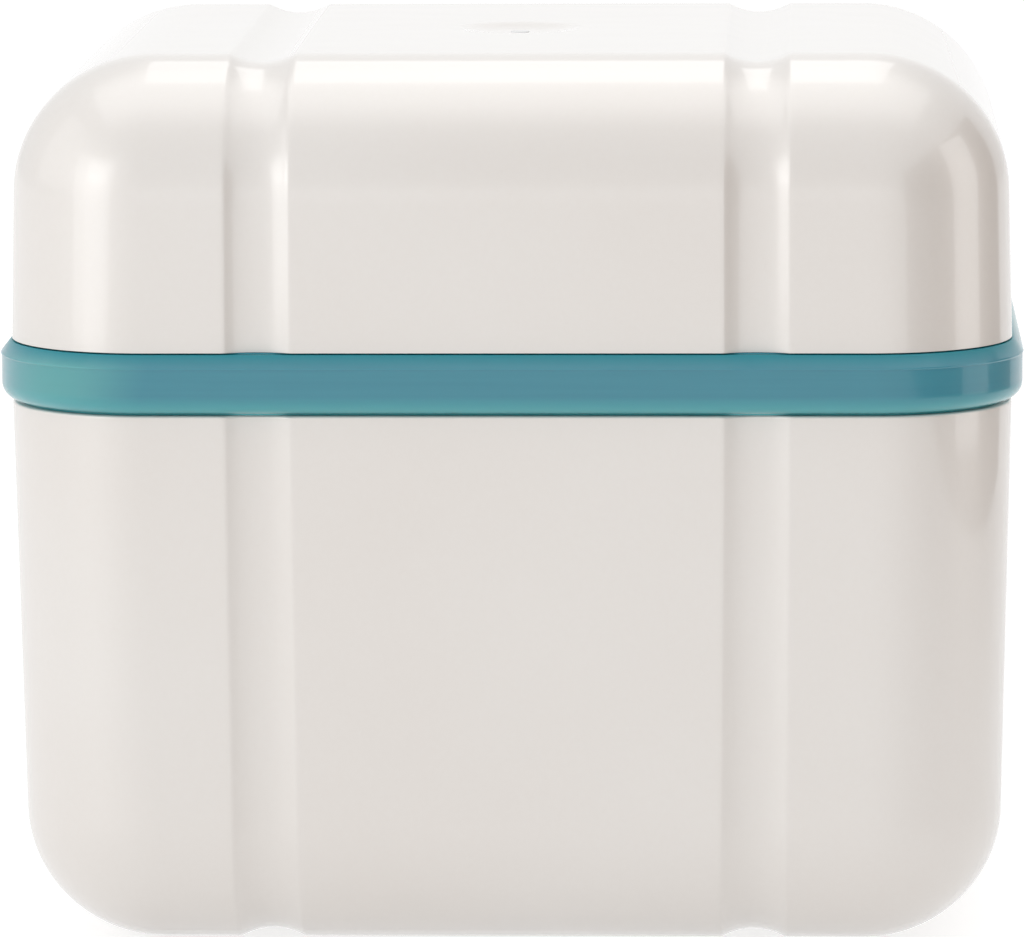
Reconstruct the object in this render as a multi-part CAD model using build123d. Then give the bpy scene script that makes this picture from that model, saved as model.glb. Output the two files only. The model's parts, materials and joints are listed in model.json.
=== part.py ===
from build123d import *
from math import atan, cos, degrees, radians, tan
import os

# Denture bath: a tub and a lift-off lid with a soft band between them, a drain basket that hangs
# in the tub from the band, and the basket's bail. Millimetres, +Z up, -Y is the front.
# The origin is the centre of the tub's underside.

# The white shells, measured at the band
case_width = 90.0
case_depth = 78.0
tub_height = 49.4
lid_height = 25.5
shell_wall = 2.2
shell_draft = 1.2          # degrees; both shells narrow away from the band
corner_radius = 12.7       # upright corners
lid_edge_radius = 12.1     # round the lid's top
tub_edge_radius = 12.0     # round the tub's underside

# Soft grooves over the front, top, back and underside of both shells
groove_offset = 22.15      # from the middle to each groove's centre
groove_width = 5.8
groove_depth = 0.8
groove_shoulder = 0.8      # rounding of the groove's two edges
tub_groove_lean = 0.45     # degrees; the tub's grooves draw together towards its underside

# Shallow dish and gate stub in the middle of the lid
dish_diameter = 12.0
dish_depth = 0.45
stub_diameter = 1.8
stub_height = 0.25

# Seal band
band_height = 5.6
band_proud = 1.05          # how far it stands out of the shells
band_top_bevel = 1.2       # height of the sloping face under the lid
band_edge_radius = 0.2     # crisp turn from the band's face into that slope
band_foot_radius = 1.55    # round foot over the tub
lip_height = 2.6           # lips that reach into the lid and into the tub
lip_thickness = 1.2
lip_clearance = 0.3        # from each lip to the shell's inner wall
tongue_depth = 2.3         # how far the basket's flange is held in the band

# Drain basket
basket_wall = 1.5
basket_draft = 2.0         # degrees
basket_clearance = 0.3     # from the band's inner face to the basket
basket_edge_radius = 7.0
flange_thickness = 1.6
sump_height = 6.3          # from the tub's floor to the basket's underside
slot_width = 2.6
floor_slot_length = 12.0
floor_slot_pitch = 7.5     # between rows
slot_bridge = 5.0          # plastic left between the ends of two floor slots
wall_slot_length = 18.0
wall_slot_pitch = 8.0
wall_slot_rise = 9.0       # from the basket's underside to the foot of a wall slot

# Bail and its bearings in the basket's side walls
pivot_drop = 5.6           # from the flange's top down to the bail's axis
ear_diameter = 8.0
ear_height = 1.2           # how far an ear stands inwards of the basket's wall
pin_diameter = 3.0
pin_clearance = 0.08       # radial
pin_setback = 0.2          # the pin ends this far inside the basket's outer face
bail_clearance = 0.3       # from the bail's arm to the ear
bail_reach = 27.0          # from the axis to the bar's outer edge
bail_thickness = 3.0
bail_edge_radius = 0.7
bail_corner_radius = 8.0
arm_width = 3.2
bar_width = 4.5
hub_diameter = 6.4
tab_width = 16.0
tab_out = 1.5              # how far the thumb tab stands out of the bar

least_radius = 0.2         # the smallest rounding left where a larger one doesn't fit
overrun = 1.0              # how far a cut runs past the face that it opens

lid_seat = tub_height + band_height
case_height = lid_seat + lid_height
band_inset = shell_wall + lip_clearance + lip_thickness
basket_inset = band_inset + basket_clearance
basket_width = case_width - 2 * basket_inset
basket_depth = case_depth - 2 * basket_inset
flange_base = tub_height + (band_height - flange_thickness) / 2
flange_top = flange_base + flange_thickness
basket_base = shell_wall + sump_height
basket_height = flange_top - basket_base
pivot_height = flange_top - pivot_drop


def narrowing(height, draft):
    """How far a drafted wall has come in after this height."""
    return height * tan(radians(draft))


def outline(inset):
    """The case's outline at the band, moved inwards by inset, or outwards where it is negative."""
    radius = max(corner_radius - inset, least_radius)
    return RectangleRounded(case_width - 2 * inset, case_depth - 2 * inset, radius)


def drafted_block(inset, height, draft, edge_radius):
    """Block that stands on its wide face, narrows upwards and has its top edges rounded."""
    block = extrude(outline(inset), amount=height, taper=draft)
    corner_at_top = max(corner_radius - inset, least_radius) - narrowing(height, draft)
    rounding = max(min(edge_radius, corner_at_top - least_radius), least_radius)
    return fillet(block.faces().sort_by(Axis.Z)[-1].edges(), rounding)


def groove_rods(height, edge_radius, lean):
    """Two round rods that follow a shell's outline from front to back and cut its grooves."""
    rod_radius = (groove_width**2 / 4 + groove_depth**2) / (2 * groove_depth)
    standoff = rod_radius - groove_depth
    crest = height + standoff

    def reach(level):
        return case_depth / 2 - narrowing(level, shell_draft) + standoff / cos(radians(shell_draft))

    at_rim = groove_offset + narrowing(overrun, lean)
    at_crest = groove_offset - narrowing(crest, lean)
    path = FilletPolyline(
        (at_rim, -reach(-overrun), -overrun),
        (at_crest, -reach(crest), crest),
        (at_crest, reach(crest), crest),
        (at_rim, reach(-overrun), -overrun),
        radius=edge_radius + standoff,
    )
    rod = sweep(Plane(origin=path @ 0, z_dir=path % 0) * Circle(rod_radius), path=path)
    return [rod, mirror(rod, Plane.YZ)]


def soften_grooves(shell):
    """Round the two long edges of each groove, but not its ends at the rim."""
    nearest = groove_offset - groove_width
    farthest = groove_offset + groove_width

    def beside_groove(edge):
        box = edge.bounding_box()
        return nearest < abs(box.center().X) < farthest and box.size.X < overrun and box.max.Z > overrun

    return fillet(shell.edges().filter_by(beside_groove), groove_shoulder)


def moulded_shell(height, edge_radius, lean=0):
    """Open shell with its rim on the XY plane and its closed end up."""
    body = drafted_block(0, height, shell_draft, edge_radius)
    for rod in groove_rods(height, edge_radius, lean):
        body -= rod
    cavity = drafted_block(shell_wall, height - shell_wall, shell_draft, edge_radius - shell_wall)
    return soften_grooves(body) - cavity


def base_tub():
    shell = moulded_shell(tub_height, tub_edge_radius, tub_groove_lean)
    return Pos(0, 0, tub_height) * Rot(180, 0, 0) * shell


def lid_shell():
    """Lid with the dish that its moulding gate sits in."""
    shell = Pos(0, 0, lid_seat) * moulded_shell(lid_height, lid_edge_radius)
    dish_sphere = (dish_diameter**2 / 4 + dish_depth**2) / (2 * dish_depth)
    dish_floor = case_height - dish_depth
    shell -= Pos(0, 0, dish_floor + dish_sphere) * Sphere(dish_sphere)
    stub = Cylinder(stub_diameter / 2, stub_height + overrun, align=(Align.CENTER, Align.CENTER, Align.MAX))
    return shell + Pos(0, 0, dish_floor + stub_height) * stub


def seal_band():
    """Band between the shells, with a lip into each and a slot that holds the basket's flange."""
    upright = band_height - band_top_bevel
    slope = degrees(atan(band_proud / band_top_bevel))
    band = extrude(outline(-band_proud), amount=upright)
    band += Pos(0, 0, upright) * extrude(outline(-band_proud), amount=band_top_bevel, taper=slope)
    for level, turn in ((0, band_foot_radius), (upright, band_edge_radius)):
        ridge = band.edges().filter_by_position(Axis.Z, level - least_radius, level + least_radius)
        band = fillet(ridge, turn)
    lips = extrude(outline(shell_wall + lip_clearance), amount=band_height + 2 * lip_height)
    band += Pos(0, 0, -lip_height) * lips
    band -= Pos(0, 0, -lip_height) * extrude(outline(band_inset), amount=band_height + 2 * lip_height)
    slot = extrude(outline(band_inset - tongue_depth), amount=flange_thickness)
    band -= Pos(0, 0, flange_base - tub_height) * slot
    return Pos(0, 0, tub_height) * band


def spaced(room, pitch):
    """Positions at this pitch, centred on zero, as many as the room takes."""
    count = max(int(room / pitch) + 1, 1)
    return [(index - (count - 1) / 2) * pitch for index in range(count)]


def upright_slots(width, reach):
    """Cutters for the slots in two facing walls of this width, which run along Y."""
    room = width - 2 * corner_radius
    slot = extrude(Plane.XZ * Rot(0, 0, 90) * SlotOverall(wall_slot_length, slot_width), amount=reach, both=True)
    level = basket_base + wall_slot_rise + wall_slot_length / 2
    return [Pos(along, 0, level) * slot for along in spaced(room, wall_slot_pitch)]


def floor_slots():
    """Cutters for the rows of slots in the basket's floor."""
    margin = narrowing(basket_height, basket_draft) + basket_edge_radius
    slot = extrude(SlotOverall(floor_slot_length, slot_width), amount=basket_wall + overrun, both=True)
    columns = spaced(basket_width - 2 * margin - floor_slot_length, floor_slot_length + slot_bridge)
    rows = spaced(basket_depth - 2 * margin - slot_width, floor_slot_pitch)
    return [Pos(x, y, basket_base) * slot for x in columns for y in rows]


def basket_block(inset, floor):
    """Solid basket shape from its floor up to the top of the flange."""
    block = drafted_block(basket_inset + inset, flange_top - floor, basket_draft, basket_edge_radius - inset)
    return Pos(0, 0, flange_top) * Rot(180, 0, 0) * block


def along_x(radius, start, end):
    """Round bar along X through the bail's axis."""
    bar = Cylinder(radius, end - start, rotation=(0, 90, 0))
    return Pos((start + end) / 2, 0, pivot_height) * bar


def wall_face():
    """Half the width between the basket's outer faces, at the height of the bail's axis."""
    return basket_width / 2 - narrowing(pivot_drop, basket_draft)


def ear_face():
    """Half the width between the ears' inner faces."""
    return wall_face() - basket_wall - ear_height


def strainer_basket():
    """Basket with its flange, drain slots and the two ears that carry the bail."""
    outer = basket_block(0, basket_base)
    basket = outer - basket_block(basket_wall, basket_base + basket_wall)
    flange = extrude(outline(band_inset - tongue_depth) - outline(basket_inset + basket_wall), amount=flange_thickness)
    basket += Pos(0, 0, flange_base) * flange
    for slot in upright_slots(basket_width, basket_depth):
        basket -= slot
    for slot in upright_slots(basket_depth, basket_width):
        basket -= Rot(0, 0, 90) * slot
    for slot in floor_slots():
        basket -= slot
    ear = along_x(ear_diameter / 2, ear_face(), basket_width / 2) & outer
    bore = along_x(pin_diameter / 2 + pin_clearance, ear_face() - overrun, basket_width / 2 + overrun)
    basket += [ear, mirror(ear, Plane.YZ)]
    return basket - bore - mirror(bore, Plane.YZ)


def basket_handle():
    """Bail folded flat towards the back, with a hub and a pin on each arm."""
    side = ear_face() - bail_clearance
    frame = Pos(0, bail_reach / 2) * Rectangle(2 * side, bail_reach)
    frame = fillet(frame.vertices().group_by(Axis.Y)[-1], bail_corner_radius)
    gap_length = bail_reach - bar_width + overrun
    gap = Pos(0, gap_length / 2 - overrun) * Rectangle(2 * (side - arm_width), gap_length)
    gap = fillet(gap.vertices().group_by(Axis.Y)[-1], max(bail_corner_radius - arm_width, least_radius))
    tab = RectangleRounded(tab_width, bar_width + tab_out, bar_width / 2 - least_radius)
    tab = Pos(0, bail_reach + tab_out - (bar_width + tab_out) / 2) * tab
    bail = extrude(frame + tab - gap, amount=bail_thickness / 2, both=True)
    flat_edges = bail.faces().filter_by(Plane.XY).edges() - bail.edges().group_by(Axis.Y)[0]
    bail = Pos(0, 0, pivot_height) * fillet(flat_edges, bail_edge_radius)
    hub = along_x(hub_diameter / 2, side - arm_width, side)
    pin = along_x(pin_diameter / 2, side - arm_width / 2, wall_face() - pin_setback)
    return bail + [hub, pin, mirror(hub, Plane.YZ), mirror(pin, Plane.YZ)]


parts = {
    "base_tub": base_tub,
    "seal_band": seal_band,
    "strainer_basket": strainer_basket,
    "basket_handle": basket_handle,
    "lid_shell": lid_shell,
}

os.makedirs("parts", exist_ok=True)
for name, make in parts.items():
    part = make()
    export_step(part, f"parts/{name}.step")
    size = part.bounding_box().size
    print(f"{name}: {len(part.solids())} solid, {size.X:.2f} x {size.Y:.2f} x {size.Z:.2f}")
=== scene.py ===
"""Denture case: pearly white shells, a teal seal band, a slotted drain basket and its bail."""
import json
import math

import bmesh
import bpy
from mathutils import Matrix, Vector


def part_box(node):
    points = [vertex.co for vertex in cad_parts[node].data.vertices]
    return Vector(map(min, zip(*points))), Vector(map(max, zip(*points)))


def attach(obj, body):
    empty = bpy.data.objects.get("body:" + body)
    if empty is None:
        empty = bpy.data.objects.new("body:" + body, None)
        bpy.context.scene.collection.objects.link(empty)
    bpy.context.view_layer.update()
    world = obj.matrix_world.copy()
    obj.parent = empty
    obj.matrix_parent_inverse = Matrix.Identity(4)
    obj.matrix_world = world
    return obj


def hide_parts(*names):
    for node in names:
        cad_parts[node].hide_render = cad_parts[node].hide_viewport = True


MM = 0.001

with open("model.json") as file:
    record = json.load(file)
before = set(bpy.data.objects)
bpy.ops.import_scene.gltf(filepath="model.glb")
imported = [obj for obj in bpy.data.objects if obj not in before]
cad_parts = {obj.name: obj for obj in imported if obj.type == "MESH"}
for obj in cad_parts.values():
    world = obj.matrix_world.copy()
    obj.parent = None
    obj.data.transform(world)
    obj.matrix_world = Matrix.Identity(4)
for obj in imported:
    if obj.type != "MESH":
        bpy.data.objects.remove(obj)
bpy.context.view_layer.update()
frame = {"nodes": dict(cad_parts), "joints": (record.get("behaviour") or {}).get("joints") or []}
lid_low, lid_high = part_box("lid_shell")
tub_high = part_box("base_tub")[1]
band_low, band_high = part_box("seal_band")
basket_low, basket_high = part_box("strainer_basket")

# Sizes that the frame gives
case_width = lid_high.x - lid_low.x
case_depth = lid_high.y - lid_low.y
lid_seat = lid_low.z
lid_height = lid_high.z - lid_low.z
tub_height = tub_high.z
band_height = lid_seat - tub_height
band_proud = (band_high.x - band_low.x - case_width) / 2
lip_height = band_high.z - lid_seat
flange_top = basket_high.z
basket_height = basket_high.z - basket_low.z
pivot_height = next(joint["pos_m"][2] for joint in frame["joints"]
                    if joint["name"] == "handle_swing")

# White shells
shell_wall = 2.2 * MM
shell_taper = math.tan(math.radians(1.2))
corner_radius = 12.7 * MM
lid_edge_radius = 12.1 * MM
tub_edge_radius = 12.0 * MM
rim_rounding = 0.25 * MM

# Grooves over both shells
groove_offset = 22.15 * MM      # from the middle to each groove's centre
groove_width = 5.8 * MM
groove_depth = 0.8 * MM
groove_rod = (groove_width ** 2 / 4 + groove_depth ** 2) / (2 * groove_depth)       # radius
groove_shoulder = 0.1 * MM      # how softly a groove's edges run out
tub_groove_lean = math.tan(math.radians(0.45))      # the tub's close in towards its floor

# Dish in the lid, with the stub of its moulding gate
dish_radius = 6 * MM
dish_depth = 0.45 * MM
stub_radius = 0.9 * MM
stub_height = 0.09 * MM
stub_edge = 0.08 * MM
stub_root = 0.5 * MM            # how far it reaches down into the wall

# Seal band
band_foot_radius = 1.55 * MM
band_top_bevel = 1.2 * MM
band_ridge = 0.08 * MM          # how far the parting line stands out of the band's face
bevel_end = 0.1 * MM            # how far outside the lid's side the top bevel ends
foot_seam = 0.16 * MM           # open line between the band and the tub
lid_seam = 0.12 * MM            # and between the band and the lid
seam_reach = 0.6 * MM           # how far both lines reach in
lip_gap = 0.3 * MM              # from a lip to the shell's inner wall
lip_thickness = 1.2 * MM
tongue_depth = 2.3 * MM         # how far the basket's flange is held in the band
nick_place = 21.6 * MM          # across the front, from the middle
nick_reach = 1.4 * MM           # from its middle to where it has faded out
nick_height = 0.3 * MM
nick_depth = 0.16 * MM

# Drain basket
flange_thickness = 1.6 * MM
basket_gap = 0.3 * MM           # from the band's inner face to the basket
basket_wall = 1.5 * MM
basket_taper = math.tan(math.radians(2.0))
basket_edge_radius = 7 * MM
slot_width = 2.6 * MM
slot_end = 0.499                # radius of a slot's end, in slot widths: a hair under half
floor_slot_length = 12 * MM
floor_slot_bridge = 5 * MM
floor_slot_pitch = 7.5 * MM
wall_slot_length = 18 * MM
wall_slot_pitch = 8 * MM
wall_slot_rise = 9 * MM         # from the basket's underside to the foot of a wall slot
ear_radius = 4 * MM
ear_height = 1.2 * MM           # how far an ear stands out of the side wall
ear_root = 0.6                  # from the basket's outer side in to where an ear starts, in walls
bore_radius = 1.58 * MM
bore_start = 0.8                # where the bores' cutters start, in half widths of the basket
cutter_reach = 1.2              # how far they and the side slots' cutters reach, in half widths
slot_rounding = 0.12 * MM

# Spacing of the faces
column_spacing = 0.6 * MM
row_spacing = 0.8 * MM
gather = 0.6 * MM               # how far the columns are drawn towards the grooves' edges
band_spacing = 0.8 * MM
basket_spacing = 1.3 * MM
band_turn_points = 32           # round each corner of the band's path
flange_turn_points = 16         # round each corner of the flange
slot_turn_points = 6            # round each half of a slot's end
round_sides = 32                # of the stub, the ears and the bores
big_arc = 1 * MM                # radius above which an arc of the section has more steps
big_arc_steps, small_arc_steps = 10, 3


# ---------------------------------------------------------------- helpers

MATH, VECTOR = "ShaderNodeMath", "ShaderNodeVectorMath"
JOIN, SPLIT = "ShaderNodeCombineXYZ", "ShaderNodeSeparateXYZ"
NOISE, RANGE, BLEND = "ShaderNodeTexNoise", "ShaderNodeMapRange", "ShaderNodeMix"
RECTANGLE, FILLET = "GeometryNodeCurvePrimitiveQuadrilateral", "GeometryNodeFilletCurve"
LINE, SWEEP = "GeometryNodeCurvePrimitiveLine", "GeometryNodeCurveToMesh"
PLACE, CARVE = "GeometryNodeTransform", "GeometryNodeMeshBoolean"


def fill(tree, node, inputs):
    """Fills a node's inputs with values, links or lists of links."""
    for key, value in inputs.items():
        for one in value if isinstance(value, list) else [value]:
            source = one.outputs[0] if isinstance(one, bpy.types.Node) else one
            if isinstance(source, bpy.types.NodeSocket):
                tree.links.new(source, node.inputs[key])
            else:
                node.inputs[key].default_value = source


def add(tree, kind, inputs=None, **settings):
    """Adds a node with its settings, and fills its inputs."""
    node = tree.nodes.new(kind)
    for name, value in settings.items():
        setattr(node, name, value)
    fill(tree, node, inputs or {})
    return node


def linear(hex_colour):
    """sRGB hex value as a linear RGBA colour."""
    channels = [int(hex_colour[i:i + 2], 16) / 255 for i in (0, 2, 4)]
    return (*(c / 12.92 if c <= 0.04045 else ((c + 0.055) / 1.055) ** 2.4 for c in channels), 1.0)


def new_object(name, data):
    """Object with this data, in the scene."""
    thing = bpy.data.objects.new(name, data)
    bpy.context.scene.collection.objects.link(thing)
    return thing


def node_tree(name, sizes):
    """Geometry tree with a mesh output and one named input for each size."""
    tree = bpy.data.node_groups.new(name, "GeometryNodeTree")
    for label, kind in sizes.items():
        tree.interface.new_socket(name=label, in_out="INPUT", socket_type="NodeSocket" + kind)
    tree.interface.new_socket(name="Mesh", in_out="OUTPUT", socket_type="NodeSocketGeometry")
    return tree, tree.nodes.new("NodeGroupInput").outputs


def finish_tree(tree, mesh, material):
    """Ends a tree: real geometry, with its material."""
    real = add(tree, "GeometryNodeRealizeInstances", {"Geometry": mesh})
    dressed = add(tree, "GeometryNodeSetMaterial", {"Geometry": real, "Material": material})
    add(tree, "NodeGroupOutput", {"Mesh": dressed})


def grow(name, tree, values, place):
    """Object whose mesh is what the tree makes of these values, with its place in the mesh."""
    piece = new_object(name, bpy.data.meshes.new(name + "_seed"))
    modifier = piece.modifiers.new("shape", "NODES")
    modifier.node_group = tree
    for item in tree.interface.items_tree:
        if item.in_out == "INPUT":
            modifier[item.identifier] = values[item.name]
    evaluated = piece.evaluated_get(bpy.context.evaluated_depsgraph_get())
    mesh = bpy.data.meshes.new_from_object(evaluated)
    piece.modifiers.remove(modifier)
    mesh.name = name
    mesh.transform(place)
    piece.data = mesh
    return piece


def soften(piece, width, angle, segments):
    """Rounds the edges that turn by more than the angle, and keeps the piece's flats flat."""
    piece.data.shade_smooth()
    bevel = piece.modifiers.new("edges", "BEVEL")
    bevel.width = width
    bevel.segments = segments
    bevel.angle_limit = math.radians(angle)
    bevel.harden_normals = True


def stands_for(piece, body, node):
    """The piece rides on the body and replaces the node, which it hides."""
    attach(piece, body)
    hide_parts(node)


# ---------------------------------------------------------------- materials

def shader(name):
    """Material with a Principled shader, its tree and its Object coordinates."""
    material = bpy.data.materials.new(name)
    material.use_nodes = True
    tree = material.node_tree
    place = add(tree, "ShaderNodeTexCoord").outputs["Object"]
    return material, tree, tree.nodes["Principled BSDF"], place


def moulded_abs():
    """ABS with pearl pigment, injection moulded in a polished tool: a clear gloss over flakes that
    throw the light back broadly, a warm white that clouds faintly where the melt flowed, and a skin
    that isn't quite flat."""
    flow_size, peel_size = 38 * MM, 9 * MM
    flake_size = 0.5 * MM           # far coarser than real flakes, which wouldn't show
    flake_share = 0.25              # of the clouds' strength
    material, tree, surface, place = shader("pearl_moulded_abs")
    flow = add(tree, NOISE, {"Vector": place, "Scale": 1 / flow_size, "Detail": 2.0})
    flake = add(tree, NOISE, {"Vector": place, "Scale": 1 / flake_size, "Detail": 2.0})
    cloud = add(tree, MATH, {0: flake, 1: flake_share, 2: flow}, operation="MULTIPLY_ADD")
    tint = add(tree, BLEND, {"Factor": cloud, "A": linear("E0D9D3"), "B": linear("E7E3DF")},
               data_type="RGBA")
    gloss = add(tree, RANGE, {"Value": flow, "To Min": 0.36, "To Max": 0.42})
    peel = add(tree, NOISE, {"Vector": place, "Scale": 1 / peel_size, "Detail": 1.0})
    bump = add(tree, "ShaderNodeBump", {"Height": peel, "Strength": 0.2, "Distance": 0.06 * MM})
    fill(tree, surface, {
        "Base Color": tint.outputs["Result"], "Roughness": gloss, "Normal": bump,
        "Coat Normal": bump, "IOR": 1.53, "Metallic": 0.25, "Coat Weight": 1.0,
        "Coat Roughness": 0.06, "Coat IOR": 1.53})
    return material


def soft_elastomer():
    """TPE, injection moulded: deep teal under a wet-looking skin, with faint streaks along the band
    where the melt ran round the ring. Broad patches of it are greener and lighter, and one is set
    on the front left corner as painted light; its foot is painted greener and lighter as light that
    comes through it. It is painted deeper under the lid as shade, and is duller there, without its
    coat."""
    streak_length, streak_height = 30 * MM, 0.7 * MM
    patch_size, patch_slice = 45 * MM, 3.0          # the slice sets where the patches fall, and puts one on the front left corner as painted light
    patch_from, patch_full = 0.48, 0.6              # noise levels where a patch starts and is full
    foot_light_full, foot_light_gone = 0.5 * MM, 1.9 * MM       # the foot's painted light, greener and lighter, up from the tub
    material, tree, surface, place = shader("teal_moulded_elastomer")
    stretch = add(tree, "ShaderNodeMapping", {
        "Vector": place, "Scale": (1 / streak_length, 1 / streak_length, 1 / streak_height)})
    streak = add(tree, NOISE, {"Vector": stretch, "Scale": 1.0, "Detail": 3.0})
    teal = add(tree, BLEND, {"Factor": streak, "A": linear("308093"), "B": linear("3C8D9E")},
               data_type="RGBA").outputs["Result"]
    # Greener, lighter patches: tone that varies at random, with the slice putting one on the front
    # left corner as painted light
    spread = add(tree, NOISE, {
        "Vector": place, "W": patch_slice, "Scale": 1 / patch_size, "Detail": 1.0},
        noise_dimensions="4D")
    tone_and_light_patch = add(tree, RANGE, {"Value": spread, "From Min": patch_from, "From Max": patch_full})
    tint = add(tree, BLEND, {"Factor": tone_and_light_patch, "A": teal, "B": linear("58A5A3")},
               data_type="RGBA").outputs["Result"]
    height = add(tree, SPLIT, {0: place}).outputs["Z"]
    # Painted light: the foot is lighter and greener, standing for light that comes through its thin
    # edge
    foot_light = add(tree, RANGE, {
        "Value": height, "From Min": tub_height + foot_light_gone, "From Max": tub_height + foot_light_full})
    lit = add(tree, BLEND, {"Factor": foot_light, "A": tint, "B": linear("42A1A8")},
              data_type="RGBA").outputs["Result"]
    # Painted shade under the lid: darker up the top bevel towards the lid's seam, where the coat is
    # also taken off
    slope = add(tree, RANGE, {
        "Value": height, "From Min": lid_seat - band_top_bevel, "From Max": lid_seat - lid_seam})
    below = add(tree, MATH, {0: height, 1: lid_seat - lid_seam / 2}, operation="LESS_THAN")
    lid_shade = add(tree, MATH, {0: slope, 1: below}, operation="MULTIPLY")
    lid_shaded = add(tree, BLEND, {"Factor": lid_shade, "A": lit, "B": linear("008492")}, data_type="RGBA")
    gloss = add(tree, RANGE, {"Value": streak, "To Min": 0.3, "To Max": 0.45})
    bump = add(tree, "ShaderNodeBump", {"Height": streak, "Strength": 0.3, "Distance": 0.05 * MM})
    wet = add(tree, RANGE, {"Value": lid_shade, "To Min": 0.85, "To Max": 0.0})
    fill(tree, surface, {
        "Coat Weight": wet, "Base Color": lid_shaded.outputs["Result"], "Roughness": gloss,
        "Normal": bump, "IOR": 1.49, "Coat Roughness": 0.1, "Coat IOR": 1.45,
        "Subsurface Weight": 0.3, "Subsurface Radius": (0.3, 1.0, 0.8),
        "Subsurface Scale": 1.0 * MM})
    return material


def natural_polypropylene():
    """Polypropylene without pigment, moulded thin: milky, with light that spreads a little way
    inside it, and a satin skin."""
    milk_size = 14 * MM
    material, tree, surface, place = shader("natural_moulded_polypropylene")
    milk = add(tree, NOISE, {"Vector": place, "Scale": 1 / milk_size, "Detail": 3.0})
    tint = add(tree, BLEND, {"Factor": milk, "A": linear("D6DAD7"), "B": linear("E6E9E5")},
               data_type="RGBA")
    gloss = add(tree, RANGE, {"Value": milk, "To Min": 0.3, "To Max": 0.42})
    fill(tree, surface, {
        "Base Color": tint.outputs["Result"], "Roughness": gloss, "IOR": 1.49,
        "Subsurface Weight": 0.3, "Subsurface Radius": (1.0, 1.0, 1.0),
        "Subsurface Scale": 2.0 * MM})
    return material


def coloured_polypropylene():
    """Polypropylene coloured to match the band: an even satin with a finely etched skin."""
    cloud_size = 10 * MM
    etch_size = 0.25 * MM           # coarser than a real etch, which wouldn't show
    material, tree, surface, place = shader("teal_moulded_polypropylene")
    cloud = add(tree, NOISE, {"Vector": place, "Scale": 1 / cloud_size, "Detail": 3.0})
    tint = add(tree, BLEND, {"Factor": cloud, "A": linear("44808F"), "B": linear("50909D")},
               data_type="RGBA")
    etch = add(tree, NOISE, {"Vector": place, "Scale": 1 / etch_size, "Detail": 2.0})
    bump = add(tree, "ShaderNodeBump", {"Height": etch, "Strength": 0.2, "Distance": 0.02 * MM})
    fill(tree, surface, {
        "Base Color": tint.outputs["Result"], "Normal": bump, "Roughness": 0.36, "IOR": 1.49})
    return material


shell_finish = moulded_abs()
band_finish = soft_elastomer()
basket_finish = natural_polypropylene()
bail_finish = coloured_polypropylene()


# ---------------------------------------------------------------- shells

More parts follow.
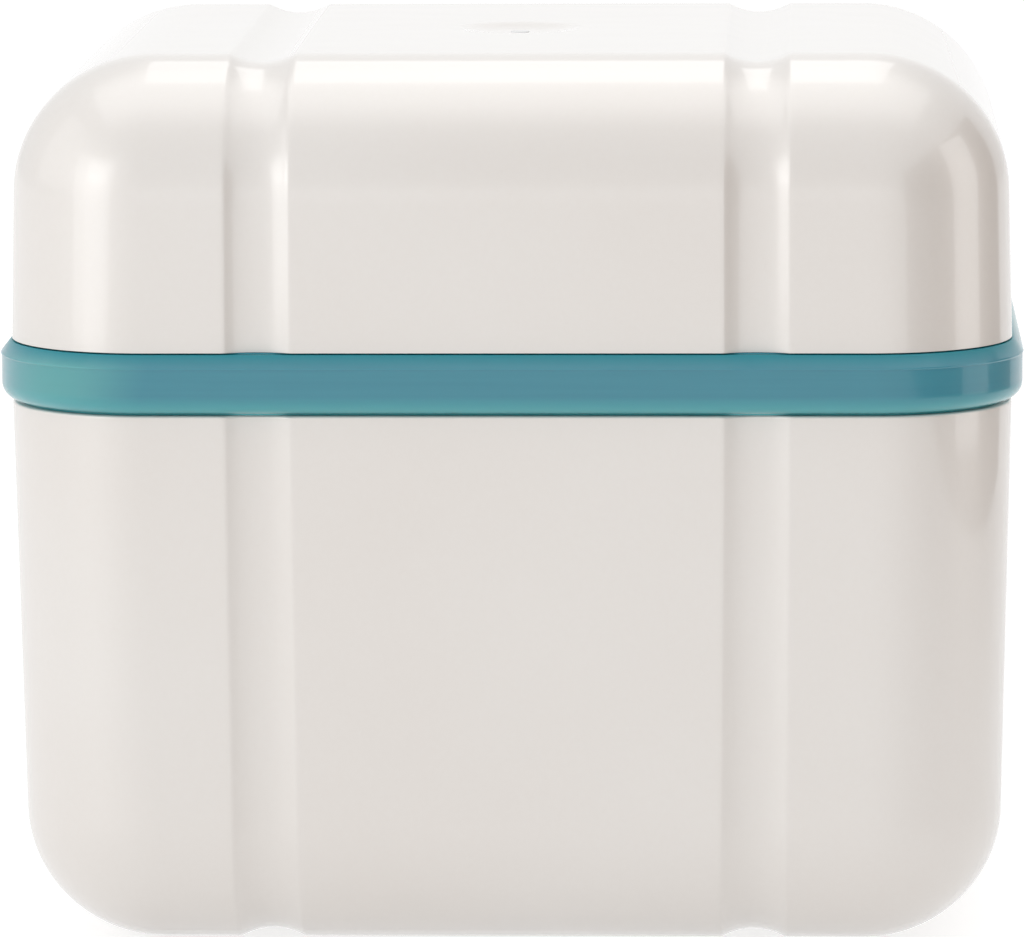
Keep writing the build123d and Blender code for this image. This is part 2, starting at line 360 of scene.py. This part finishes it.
def shell_tree():
    """A closed box pushed in on itself like a stocking: its upper half becomes the outside of a
    shell and its lower half, folded up, the inside. Both are rounded and tapered, and the outside
    is grooved and dished."""
    tree, size = node_tree("moulded_shell", {
        "Half Size": "Vector", "Rounding": "Vector", "Wall": "Float", "Taper": "Float",
        "Columns": "Int", "Ranks": "Int", "Rows": "Int", "Gather": "Float",
        "Groove Offset": "Float", "Groove Width": "Float", "Groove Depth": "Float",
        "Groove Rod": "Float", "Groove Lean": "Float", "Shoulder": "Float",
        "Dish Radius": "Float", "Dish Depth": "Float", "Material": "Material"})

    # The box, twice as tall as the shell, with its waist at the rim
    levels = add(tree, MATH, {0: size["Rows"], 1: 2.0, 2: 1.0}, operation="MULTIPLY_ADD")
    box = add(tree, "GeometryNodeMeshCube", {
        "Size": add(tree, VECTOR, {0: size["Half Size"], "Scale": 2.0}, operation="SCALE"),
        "Vertices X": size["Columns"], "Vertices Y": size["Ranks"], "Vertices Z": levels})
    place = add(tree, "GeometryNodeInputPosition")
    unit = add(tree, VECTOR, {0: place, 1: size["Half Size"]}, operation="DIVIDE")
    across, along, up = add(tree, SPLIT, {0: unit}).outputs

    # Fold what is below the waist up inside, a wall's thickness in, its first row at the rim
    row = add(tree, MATH, {0: up, 1: size["Rows"]}, operation="MULTIPLY")
    inside = add(tree, MATH, {0: row, 1: -0.5}, operation="LESS_THAN")
    hem = add(tree, MATH, {0: inside, 1: size["Rows"]}, operation="DIVIDE")
    rise = add(tree, MATH, {0: up}, operation="ABSOLUTE")
    level = add(tree, RANGE, {"Value": rise, "From Min": hem, "From Max": 1.0})
    wall = add(tree, MATH, {0: inside, 1: size["Wall"]}, operation="MULTIPLY")
    room = add(tree, VECTOR, {0: size["Half Size"], 1: wall}, operation="SUBTRACT")
    share = add(tree, JOIN, {"X": across, "Y": along, "Z": level})
    folded = add(tree, VECTOR, {0: share, 1: room}, operation="MULTIPLY")

    # Round it: every point stands off the nearest point of an inner box
    radii = add(tree, VECTOR, {0: size["Rounding"], 1: wall}, operation="SUBTRACT")
    core = add(tree, VECTOR, {0: room, 1: radii}, operation="SUBTRACT")
    far_corner = add(tree, VECTOR, {0: core, "Scale": -1.0}, operation="SCALE")
    not_below = add(tree, VECTOR, {0: folded, 1: far_corner}, operation="MAXIMUM")
    nearest = add(tree, VECTOR, {0: not_below, 1: core}, operation="MINIMUM")
    away = add(tree, VECTOR, {0: folded, 1: nearest}, operation="SUBTRACT")
    facing = add(tree, VECTOR, {0: away}, operation="NORMALIZE")
    rounded = add(tree, VECTOR, {0: facing, 1: radii, 2: nearest}, operation="MULTIPLY_ADD")

    # Taper it towards its closed end
    height = add(tree, SPLIT, {0: rounded}).outputs["Z"]
    lean = add(tree, MATH, {0: height, 1: size["Taper"]}, operation="MULTIPLY")
    loss = add(tree, VECTOR, {0: lean, 1: room}, operation="DIVIDE")
    sideways = add(tree, VECTOR, {0: loss, 1: (-1.0, -1.0, 0.0)}, operation="MULTIPLY")
    tapered = add(tree, VECTOR, {0: rounded, 1: sideways, 2: rounded}, operation="MULTIPLY_ADD")

    # Draw the columns of faces towards the grooves' edges
    side = add(tree, SPLIT, {0: tapered}).outputs["X"]
    distance = add(tree, MATH, {0: side}, operation="ABSOLUTE")
    leaned = add(tree, MATH, {0: height, 1: size["Groove Lean"], 2: distance},
                 operation="MULTIPLY_ADD")
    off_centre = add(tree, MATH, {0: leaned, 1: size["Groove Offset"]}, operation="SUBTRACT")
    widths = add(tree, MATH, {0: off_centre, 1: size["Groove Width"]}, operation="DIVIDE")
    turn = add(tree, RANGE, {
        "Value": widths, "From Min": -1.0, "From Max": 1.0,
        "To Min": -math.tau, "To Max": math.tau})
    wave = add(tree, MATH, {0: turn}, operation="SINE")
    drawn = add(tree, MATH, {0: wave, 1: size["Gather"]}, operation="MULTIPLY")
    which_side = add(tree, MATH, {0: side}, operation="SIGN")
    shift = add(tree, MATH, {0: which_side, 1: drawn}, operation="MULTIPLY")

    # Grooves: the track of a round rod
    offset = add(tree, MATH, {0: off_centre, 1: drawn}, operation="ADD")
    offset_squared = add(tree, MATH, {0: offset, 1: 2.0}, operation="POWER")
    rod_squared = add(tree, MATH, {0: size["Groove Rod"], 1: 2.0}, operation="POWER")
    chord = add(tree, MATH, {0: rod_squared, 1: offset_squared}, operation="SUBTRACT")
    arc = add(tree, MATH, {0: chord}, operation="SQRT")
    standoff = add(tree, MATH, {0: size["Groove Rod"], 1: size["Groove Depth"]},
                   operation="SUBTRACT")
    cut = add(tree, MATH, {0: arc, 1: standoff}, operation="SUBTRACT")
    track = add(tree, MATH, {0: cut, 1: 0.0, 2: size["Shoulder"]}, operation="SMOOTH_MAX")

    # A shallow dish in the middle of the closed end
    flat = add(tree, VECTOR, {0: tapered, 1: (1.0, 1.0, 0.0)}, operation="MULTIPLY")
    spread = add(tree, VECTOR, {0: flat, 1: flat}, operation="DOT_PRODUCT").outputs["Value"]
    dish_edge = add(tree, MATH, {0: size["Dish Radius"], 1: 2.0}, operation="POWER")
    dish = add(tree, RANGE, {
        "Value": spread, "From Min": dish_edge, "From Max": 0.0, "To Max": size["Dish Depth"]},
        interpolation_type="SMOOTHSTEP")

    # Press both into the outside alone
    sunk = add(tree, MATH, {0: track, 1: dish}, operation="ADD")
    outside = add(tree, MATH, {0: 1.0, 1: inside}, operation="SUBTRACT")
    depth = add(tree, MATH, {0: sunk, 1: outside}, operation="MULTIPLY")
    pushed = add(tree, VECTOR, {0: facing, "Scale": depth}, operation="SCALE")
    shaped = add(tree, "GeometryNodeSetPosition", {
        "Geometry": box, "Position": add(tree, VECTOR, {0: tapered, 1: pushed},
                                         operation="SUBTRACT"),
        "Offset": add(tree, JOIN, {"X": shift})})
    finish_tree(tree, shaped, size["Material"])
    return tree


def shell_sizes(height, edge_radius, **others):
    """What both white shells pass to their tree."""
    return {
        "Half Size": (case_width / 2, case_depth / 2, height),
        "Rounding": (corner_radius, corner_radius, edge_radius),
        "Wall": shell_wall, "Taper": shell_taper, "Columns": round(case_width / column_spacing),
        "Ranks": round(case_depth / row_spacing), "Rows": round(height / row_spacing),
        "Gather": gather, "Groove Offset": groove_offset, "Groove Width": groove_width,
        "Groove Depth": groove_depth, "Groove Rod": groove_rod, "Groove Lean": 0.0,
        "Shoulder": groove_shoulder, "Dish Radius": dish_radius, "Dish Depth": 0.0,
        "Material": shell_finish, **others}


def add_gate_stub(shell, top):
    """The stub that the moulding gate leaves in the dish: a low round pip with a turned edge."""
    work = bmesh.new()
    work.from_mesh(shell.data)
    floor = top - dish_depth
    pip = bmesh.ops.create_cone(
        work, cap_ends=True, segments=round_sides, radius1=stub_radius, radius2=stub_radius,
        depth=stub_height + stub_root)
    bmesh.ops.translate(work, verts=pip["verts"],
                        vec=(0, 0, floor + (stub_height - stub_root) / 2))
    crown = [edge for edge in {edge for vert in pip["verts"] for edge in vert.link_edges}
             if all(vert.co.z > floor for vert in edge.verts)]
    bmesh.ops.bevel(work, geom=crown, offset=stub_edge, segments=3, affect="EDGES")
    work.to_mesh(shell.data)
    work.free()


shells = shell_tree()
upside_down = Matrix.Rotation(math.pi, 4, "X")
lid = grow("lid_skin", shells,
           shell_sizes(lid_height, lid_edge_radius, **{"Dish Depth": dish_depth}),
           Matrix.Translation((0, 0, lid_seat)))
add_gate_stub(lid, lid_high.z)
tub = grow("tub_skin", shells,
           shell_sizes(tub_height, tub_edge_radius, **{"Groove Lean": tub_groove_lean}),
           Matrix.Translation((0, 0, tub_height)) @ upside_down)
for shell in (lid, tub):
    soften(shell, rim_rounding, angle=60, segments=3)
stands_for(lid, "lid", "lid_shell")
stands_for(tub, "tub", "base_tub")


# ---------------------------------------------------------------- seal band

def rounded_section(corners):
    """Closed outline from corners given as (out, up, radius), each of them turned into an arc."""
    points = []
    for before, here, after in zip(corners[-1:] + corners[:-1], corners, corners[1:] + corners[:1]):
        corner, radius = Vector(here[:2]), here[2]
        back = (Vector(before[:2]) - corner).normalized()
        on = (Vector(after[:2]) - corner).normalized()
        half = back.angle(on) / 2
        centre = corner + (back + on).normalized() * radius / math.sin(half)
        first = corner + back * radius / math.tan(half) - centre
        last = corner + on * radius / math.tan(half) - centre
        steps = big_arc_steps if radius > big_arc else small_arc_steps
        points += [centre + radius * first.slerp(last, step / steps) for step in range(steps + 1)]
    return points


def band_section():
    """The band cut across, its foot at zero: its outer face with the parting line, a lip into each
    shell and the slot for the basket's flange."""
    hairline, crisp, eased = 0.03 * MM, 0.05 * MM, 0.1 * MM         # radii of its corners
    mouth, blunt = 0.15 * MM, 0.35 * MM
    lip_out = -(shell_wall + lip_gap)
    lip_in = lip_out - lip_thickness
    lip_top = band_height + lip_height
    slot_low = (band_height - flange_thickness) / 2
    slot_top = slot_low + flange_thickness
    slot_in = lip_in + tongue_depth
    under_lid = band_height - lid_seam
    face = band_proud - band_ridge
    ridge = band_height - band_top_bevel
    ridge_foot, ridge_full = ridge - 0.2 * MM, ridge - 0.1 * MM
    ridge_out, ridge_end = band_proud - 0.06 * MM, ridge + 0.02 * MM
    return rounded_section([
        (face, foot_seam, band_foot_radius),
        (face, ridge_foot, crisp),
        (band_proud, ridge_full, crisp),
        (ridge_out, ridge_end, hairline),
        (bevel_end, under_lid, crisp),
        (-seam_reach, under_lid, crisp),
        (-seam_reach, band_height, crisp),
        (lip_out, band_height, eased),
        (lip_out, lip_top, blunt),
        (lip_in, lip_top, blunt),
        (lip_in, slot_top, mouth),
        (slot_in, slot_top, crisp),
        (slot_in, slot_low, crisp),
        (lip_in, slot_low, mouth),
        (lip_in, -lip_height, blunt),
        (lip_out, -lip_height, blunt),
        (lip_out, 0, eased),
        (-seam_reach, 0, crisp),
        (-seam_reach, foot_seam, crisp)])


def section_curve(points):
    """Closed curve through the points of a section, turned the way that a swept profile lies."""
    data = bpy.data.curves.new("band_section", "CURVE")
    line = data.splines.new("POLY")
    line.points.add(len(points) - 1)
    for point, (out, up) in zip(line.points, reversed(points)):
        point.co = (out, -up, 0, 1)
    line.use_cyclic_u = True
    return new_object("band_section", data)


def ring_tree():
    """A section carried round a rectangle with rounded corners, with a small nick in its front."""
    tree, size = node_tree("moulded_ring", {
        "Width": "Float", "Depth": "Float", "Corner": "Float", "Section": "Object",
        "Step": "Float", "Nick Place": "Float", "Nick Reach": "Float", "Nick Level": "Float",
        "Nick Height": "Float", "Nick Depth": "Float", "Material": "Material"})
    path = add(tree, RECTANGLE, {"Width": size["Width"], "Height": size["Depth"]})
    turned = add(tree, FILLET, {
        "Curve": path, "Count": band_turn_points, "Radius": size["Corner"]}, mode="POLY")
    even = add(tree, "GeometryNodeResampleCurve", {"Curve": turned, "Length": size["Step"]},
               mode="LENGTH")
    section = add(tree, "GeometryNodeObjectInfo", {"Object": size["Section"]}).outputs["Geometry"]
    ring = add(tree, SWEEP, {"Curve": even, "Profile Curve": section})

    # The nick fades out sideways and up and down, and is on the front alone
    place = add(tree, SPLIT, {0: add(tree, "GeometryNodeInputPosition")}).outputs
    off_across = add(tree, MATH, {0: place["X"], 1: size["Nick Place"]}, operation="SUBTRACT")
    off_up = add(tree, MATH, {0: place["Z"], 1: size["Nick Level"]}, operation="SUBTRACT")
    far_across = add(tree, MATH, {0: off_across}, operation="ABSOLUTE")
    far_up = add(tree, MATH, {0: off_up}, operation="ABSOLUTE")
    across = add(tree, RANGE, {
        "Value": far_across, "From Min": size["Nick Reach"], "From Max": 0.0,
        "To Max": size["Nick Depth"]}, interpolation_type="SMOOTHSTEP")
    upward = add(tree, RANGE, {
        "Value": far_up, "From Min": size["Nick Height"], "From Max": 0.0},
        interpolation_type="SMOOTHSTEP")
    face = add(tree, MATH, {0: size["Depth"], 1: -0.5}, operation="MULTIPLY")
    front = add(tree, MATH, {0: place["Y"], 1: face}, operation="LESS_THAN")
    both = add(tree, MATH, {0: across, 1: upward}, operation="MULTIPLY")
    depth = add(tree, MATH, {0: both, 1: front}, operation="MULTIPLY")
    pressed = add(tree, "GeometryNodeSetPosition", {
        "Geometry": ring, "Offset": add(tree, JOIN, {"Y": depth})})
    finish_tree(tree, pressed, size["Material"])
    return tree


section = section_curve(band_section())
band = grow("seal_ring", ring_tree(), {
    "Width": case_width, "Depth": case_depth, "Corner": corner_radius, "Section": section,
    "Step": band_spacing, "Nick Place": nick_place, "Nick Reach": nick_reach,
    "Nick Level": band_height - band_top_bevel, "Nick Height": nick_height,
    "Nick Depth": nick_depth, "Material": band_finish}, Matrix.Translation((0, 0, tub_height)))
bpy.data.objects.remove(section)
band.data.shade_smooth()
band.modifiers.new("flats", "WEIGHTED_NORMAL")
stands_for(band, "insert", "seal_band")


# ---------------------------------------------------------------- drain basket

def slot_cutter(tree, width, length, reach, turn):
    """Bar with the section of a slot with round ends, turned out of the Z axis."""
    outline = add(tree, RECTANGLE, {"Width": width, "Height": length})
    radius = add(tree, MATH, {0: width, 1: slot_end}, operation="MULTIPLY")
    rounded = add(tree, FILLET, {
        "Curve": outline, "Count": slot_turn_points, "Radius": radius}, mode="POLY")
    back = add(tree, MATH, {0: reach, 1: -1.0}, operation="MULTIPLY")
    rail = add(tree, LINE, {
        "Start": add(tree, JOIN, {"Z": back}), "End": add(tree, JOIN, {"Z": reach})})
    bar = add(tree, SWEEP, {"Curve": rail, "Profile Curve": rounded, "Fill Caps": True})
    return add(tree, PLACE, {"Geometry": bar, "Rotation": turn})


def in_a_row(tree, thing, count, step):
    """Copies of a thing, spaced by a step, with the middle of the row at the origin."""
    back = add(tree, MATH, {0: count, 1: -0.5, 2: 0.5}, operation="MULTIPLY_ADD")
    start = add(tree, VECTOR, {0: step, "Scale": back}, operation="SCALE")
    line = add(tree, "GeometryNodeMeshLine", {
        "Count": count, "Start Location": start, "Offset": step})
    return add(tree, "GeometryNodeInstanceOnPoints", {"Points": line, "Instance": thing})


def flange_plate(tree, half, corner, grown, low, high):
    """Plate with the cup's outline grown by this much, from one level to the other."""
    twice = add(tree, MATH, {0: grown, 1: 2.0}, operation="MULTIPLY")
    outline = add(tree, RECTANGLE, {
        "Width": add(tree, MATH, {0: half["X"], 1: 2.0, 2: twice}, operation="MULTIPLY_ADD"),
        "Height": add(tree, MATH, {0: half["Y"], 1: 2.0, 2: twice}, operation="MULTIPLY_ADD")})
    rim = add(tree, FILLET, {
        "Curve": outline, "Count": flange_turn_points,
        "Radius": add(tree, MATH, {0: corner, 1: grown}, operation="ADD")}, mode="POLY")
    rail = add(tree, LINE, {
        "Start": add(tree, JOIN, {"Z": low}), "End": add(tree, JOIN, {"Z": high})})
    return add(tree, SWEEP, {"Curve": rail, "Profile Curve": rim, "Fill Caps": True})


def rods_on_both_sides(tree, radius, near, far, level):
    """Two round rods along X, one on each side of the middle, from near to far."""
    length = add(tree, MATH, {0: far, 1: near}, operation="SUBTRACT")
    sum_of_both = add(tree, MATH, {0: far, 1: near}, operation="ADD")
    middle = add(tree, MATH, {0: sum_of_both, 1: 0.5}, operation="MULTIPLY")
    rod = add(tree, "GeometryNodeMeshCylinder", {
        "Vertices": round_sides, "Radius": radius, "Depth": length})
    rods = []
    for way in (1.0, -1.0):
        out = add(tree, MATH, {0: middle, 1: way}, operation="MULTIPLY")
        rods.append(add(tree, PLACE, {
            "Geometry": rod, "Rotation": (0.0, math.pi / 2, 0.0),
            "Translation": add(tree, JOIN, {"X": out, "Z": level})}))
    return rods


def strainer_tree():
    """The basket, rim at the origin and floor up: a plain cup from the shells' tree, a flange round
    its rim and an ear on each side wall, with rows of slots and the ears' bores cut through."""
    tree, size = node_tree("moulded_strainer", {
        "Half Size": "Vector", "Rounding": "Vector", "Wall": "Float", "Taper": "Float",
        "Columns": "Int", "Ranks": "Int", "Rows": "Int", "Flange Reach": "Float",
        "Flange Thickness": "Float", "Slot Width": "Float", "Wall Slot Length": "Float",
        "Wall Slot Level": "Float", "Wall Slot Pitch": "Float", "Front Slots": "Int",
        "Side Slots": "Int", "Floor Slot Length": "Float", "Floor Column Pitch": "Float",
        "Floor Row Pitch": "Float", "Floor Columns": "Int", "Floor Rows": "Int",
        "Ear Radius": "Float", "Ear Face": "Float", "Ear Level": "Float",
        "Bore Radius": "Float", "Material": "Material"})
    shared = ("Half Size", "Rounding", "Wall", "Taper", "Columns", "Ranks", "Rows", "Material")
    plain = {"Gather": 0.0, "Groove Offset": 0.0, "Groove Width": 1.0, "Groove Depth": 0.0,
             "Groove Rod": 1.0, "Groove Lean": 0.0, "Shoulder": 0.0, "Dish Radius": 1.0,
             "Dish Depth": 0.0}
    cup = add(tree, "GeometryNodeGroup", {name: size[name] for name in shared} | plain,
              node_tree=shells)
    half = add(tree, SPLIT, {0: size["Half Size"]}).outputs
    corner = add(tree, SPLIT, {0: size["Rounding"]}).outputs["X"]

    # Flange: a plate, less a thicker one that ends halfway through the cup's wall
    thickness = size["Flange Thickness"]
    halfway_in = add(tree, MATH, {0: size["Wall"], 1: -0.5}, operation="MULTIPLY")
    below = add(tree, MATH, {0: thickness, 1: -1.0}, operation="MULTIPLY")
    above = add(tree, MATH, {0: thickness, 1: 2.0}, operation="MULTIPLY")
    flange = add(tree, CARVE, {
        "Mesh 1": flange_plate(tree, half, corner, size["Flange Reach"], 0.0, thickness),
        "Mesh 2": flange_plate(tree, half, corner, halfway_in, below, above)}, solver="MANIFOLD")

    # Ears, from their faces into the side walls, and the bores through both
    root = add(tree, MATH, {0: size["Wall"], 1: -ear_root, 2: half["X"]},
               operation="MULTIPLY_ADD")
    beyond = add(tree, MATH, {0: half["X"], 1: cutter_reach}, operation="MULTIPLY")
    within = add(tree, MATH, {0: half["X"], 1: bore_start}, operation="MULTIPLY")
    ears = rods_on_both_sides(tree, size["Ear Radius"], size["Ear Face"], root, size["Ear Level"])
    bores = rods_on_both_sides(tree, size["Bore Radius"], within, beyond, size["Ear Level"])

    # Slots: bars that reach through both facing walls, or through the floor
    quarter = math.pi / 2
    width, tall = size["Slot Width"], size["Wall Slot Length"]
    front = slot_cutter(tree, width, tall, half["X"], (quarter, 0.0, 0.0))
    side = slot_cutter(tree, width, tall, beyond, (quarter, 0.0, quarter))
    floor = slot_cutter(tree, width, size["Floor Slot Length"], size["Wall"], (0.0, 0.0, quarter))
    front_row = in_a_row(tree, front, size["Front Slots"],
                         add(tree, JOIN, {"X": size["Wall Slot Pitch"]}))
    side_row = in_a_row(tree, side, size["Side Slots"],
                        add(tree, JOIN, {"Y": size["Wall Slot Pitch"]}))
    floor_row = in_a_row(tree, floor, size["Floor Columns"],
                         add(tree, JOIN, {"X": size["Floor Column Pitch"]}))
    floor_field = in_a_row(tree, floor_row, size["Floor Rows"],
                           add(tree, JOIN, {"Y": size["Floor Row Pitch"]}))
    cutters = []
    for slots, level in ((front_row, size["Wall Slot Level"]), (side_row, size["Wall Slot Level"]),
                         (floor_field, half["Z"])):
        placed = add(tree, PLACE, {
            "Geometry": slots, "Translation": add(tree, JOIN, {"Z": level})})
        cutters.append(add(tree, "GeometryNodeRealizeInstances", {"Geometry": placed}))

    whole = add(tree, CARVE, {"Mesh 2": [cup, flange, *ears]}, operation="UNION",
                solver="MANIFOLD")
    for cutter in (*cutters, *bores):
        whole = add(tree, CARVE, {"Mesh 1": whole, "Mesh 2": cutter}, solver="MANIFOLD")
    finish_tree(tree, whole, size["Material"])
    return tree


def how_many(room, pitch):
    """As many as the room takes at this pitch."""
    return max(int(room / pitch) + 1, 1)


def strainer_sizes():
    """What the basket passes to its tree."""
    inset = shell_wall + lip_gap + lip_thickness + basket_gap
    half_width, half_depth = case_width / 2 - inset, case_depth / 2 - inset
    ear_level = flange_top - pivot_height
    margin = basket_height * basket_taper + basket_edge_radius
    floor_column_pitch = floor_slot_length + floor_slot_bridge
    return {
        "Half Size": (half_width, half_depth, basket_height),
        "Rounding": (corner_radius - inset, corner_radius - inset, basket_edge_radius),
        "Wall": basket_wall, "Taper": basket_taper,
        "Columns": round(2 * half_width / basket_spacing),
        "Ranks": round(2 * half_depth / basket_spacing),
        "Rows": round(basket_height / basket_spacing),
        "Flange Reach": tongue_depth + basket_gap, "Flange Thickness": flange_thickness,
        "Slot Width": slot_width, "Wall Slot Length": wall_slot_length,
        "Wall Slot Level": basket_height - wall_slot_rise - wall_slot_length / 2,
        "Wall Slot Pitch": wall_slot_pitch,
        "Front Slots": how_many(2 * (half_width - corner_radius), wall_slot_pitch),
        "Side Slots": how_many(2 * (half_depth - corner_radius), wall_slot_pitch),
        "Floor Slot Length": floor_slot_length, "Floor Column Pitch": floor_column_pitch,
        "Floor Row Pitch": floor_slot_pitch,
        "Floor Columns": how_many(2 * (half_width - margin) - floor_slot_length,
                                  floor_column_pitch),
        "Floor Rows": how_many(2 * (half_depth - margin) - slot_width, floor_slot_pitch),
        "Ear Radius": ear_radius,
        "Ear Face": half_width - ear_level * basket_taper - basket_wall - ear_height,
        "Ear Level": ear_level, "Bore Radius": bore_radius, "Material": basket_finish}


strainer = grow("strainer_skin", strainer_tree(), strainer_sizes(),
                Matrix.Translation((0, 0, flange_top)) @ upside_down)
soften(strainer, slot_rounding, angle=50, segments=2)
stands_for(strainer, "insert", "strainer_basket")


# ---------------------------------------------------------------- bail, kept from the frame

for finish_slot in frame["nodes"]["basket_handle"].material_slots:
    finish_slot.material = bail_finish


# ---------------------------------------------------------------- camera

photo_width = 1024                      # pixels
focal_pixels = 7722                     # focal length in the photograph's pixels
sensor_width = 36.0                     # mm
camera_distance = 723.4 * MM
camera_side = math.radians(2.077)       # to the right of straight ahead
camera_rise = math.radians(8.271)
camera_roll = math.radians(-0.278)      # by which the photograph is out of level
aim = Vector((-0.949, 0, 39.07)) * MM

camera_data = bpy.data.cameras.new("camera")
camera_data.sensor_width = sensor_width
camera_data.lens = focal_pixels * sensor_width / photo_width
camera = new_object("camera", camera_data)
towards_camera = Vector((math.sin(camera_side) * math.cos(camera_rise),
                         -math.cos(camera_side) * math.cos(camera_rise), math.sin(camera_rise)))
camera.location = aim + towards_camera * camera_distance
level_view = (-towards_camera).to_track_quat("-Z", "Y").to_matrix()
camera.rotation_euler = (level_view @ Matrix.Rotation(camera_roll, 3, "Z")).to_euler()
bpy.context.scene.camera = camera


# ---------------------------------------------------------------- studio

centre = Vector((0, 0, 40 * MM))
lamp_tint = (0.97, 0.99, 1.0)
paper_glow = 0.74               # brings the floor that the camera sees up to white
ambient = 0.83                  # the world's strength, where it isn't seen as the background
behind_from, behind_full = 0.85, 0.98       # Y of the directions where gloss begins to see white,
                                            # and sees it fully
floor_reach = 3.0               # metres
card_side, card_front, card_back, card_top = 0.24, -0.4, 0.14, 0.22         # metres


def softbox(name, place, width, height, radiance):
    """Rectangular lamp that faces the case and, in a mirror, looks like an emission this strong."""
    data = bpy.data.lights.new(name, "AREA")
    data.shape = "RECTANGLE"
    data.size, data.size_y = width, height
    data.energy = radiance * math.pi * width * height
    data.color = lamp_tint
    lamp = new_object(name, data)
    lamp.location = place
    lamp.rotation_euler = (centre - Vector(place)).to_track_quat("-Z", "Y").to_euler()


def direction(turn, rise, distance):
    """Place at this turn from the front, to the right, at this rise and distance from the case."""
    turn, rise = math.radians(turn), math.radians(rise)
    return centre + distance * Vector((
        math.sin(turn) * math.cos(rise), -math.cos(turn) * math.cos(rise), math.sin(rise)))


# The wide overhead lamp is three, one above the other and each a step larger, for a soft edge in
# the gloss
overhead_layers = [("overhead_wide", (0.0, 0.05, 0.70 + 0.01 * layer), 0.9, 0.4 + 0.2 * layer, 0.21)
                   for layer in range(3)]
for lamp in (                   # name, place, width and height in metres, radiance
        ("overhead_back", (0.015, 0.38, 0.62), 0.24, 0.44, 0.8),
        *overhead_layers,
        ("front_left_high", direction(-45, 20, 0.6), 0.16, 0.16, 0.8),
        ("front_left_low", direction(-45, 8, 0.6), 0.18, 0.24, 0.4),
        ("front_left_wide", direction(-48, 14, 0.65), 0.36, 0.40, 0.85),
        ("left_wide", direction(-85, 25, 0.65), 0.45, 0.45, 0.3),
        ("front_low", direction(5, 6, 0.8), 0.6, 0.14, 0.4),
        ("right_strip", direction(78, 14, 0.21), 0.085, 0.16, 1.15)):
    softbox(*lamp)


def stage_plane(name, corners, material):
    """Flat piece of the studio."""
    mesh = bpy.data.meshes.new(name)
    mesh.from_pydata(corners, [], [(0, 1, 2, 3)])
    mesh.materials.append(material)
    plane = new_object(name, mesh)
    return plane


def pale_paper():
    """Seamless paper: it shows as the white background with a soft shadow, and white in gloss."""
    material = bpy.data.materials.new("pale_paper")
    material.use_nodes = True
    tree = material.node_tree
    surface = add(tree, "ShaderNodeBsdfDiffuse", {"Color": linear("F8F7F6")})
    glow = add(tree, "ShaderNodeEmission", {"Strength": paper_glow})
    shade = add(tree, "ShaderNodeBsdfDiffuse", {"Color": linear("ABAAA9")})
    lit = add(tree, "ShaderNodeAddShader", {0: shade, 1: glow})
    rays = add(tree, "ShaderNodeLightPath").outputs
    seen = add(tree, MATH, {0: rays["Is Camera Ray"], 1: rays["Is Transmission Ray"]},
               operation="MAXIMUM")
    shown = add(tree, "ShaderNodeMixShader", {"Fac": seen, 1: surface, 2: lit})
    white = add(tree, "ShaderNodeEmission", {"Strength": 1.0})
    mirrored = add(tree, "ShaderNodeMixShader", {"Fac": rays["Is Glossy Ray"], 1: shown, 2: white})
    fill(tree, tree.nodes["Material Output"], {"Surface": mirrored})
    return material


def warm_card():
    """Matt card to the right of the case, which mirrors it there in place of white."""
    material = bpy.data.materials.new("warm_card")
    material.use_nodes = True
    tree = material.node_tree
    fill(tree, tree.nodes["Principled BSDF"], {"Base Color": linear("8A7B70"), "Roughness": 1.0})
    return material


stage_plane("floor", [
    (-floor_reach, -floor_reach, 0), (floor_reach, -floor_reach, 0), (floor_reach, floor_reach, 0),
    (-floor_reach, floor_reach, 0)], pale_paper())
card = stage_plane("right_card", [
    (card_side, card_front, 0), (card_side, card_back, 0), (card_side, card_back, card_top),
    (card_side, card_front, card_top)], warm_card())
card.visible_camera = False
card.visible_shadow = False

# The world is white where the camera looks, and in gloss only straight behind the case
world = bpy.data.worlds.new("studio")
world.use_nodes = True
bpy.context.scene.world = world
sky = world.node_tree
rays = add(sky, "ShaderNodeLightPath").outputs
seen = add(sky, MATH, {0: rays["Is Camera Ray"], 1: rays["Is Transmission Ray"]},
           operation="MAXIMUM")
heading = add(sky, SPLIT, {0: add(sky, "ShaderNodeTexCoord").outputs["Generated"]}).outputs
behind = add(sky, RANGE, {
    "Value": heading["Y"], "From Min": behind_from, "From Max": behind_full})
mirrored = add(sky, MATH, {0: rays["Is Glossy Ray"], 1: behind}, operation="MULTIPLY")
backdrop = add(sky, MATH, {0: seen, 1: mirrored}, operation="MAXIMUM")
level = add(sky, BLEND, {"Factor": backdrop, "A": ambient, "B": 1.0})
fill(sky, sky.nodes["Background"], {"Color": linear("FFFFFF"), "Strength": level})

bpy.context.scene.view_settings.view_transform = "Standard"
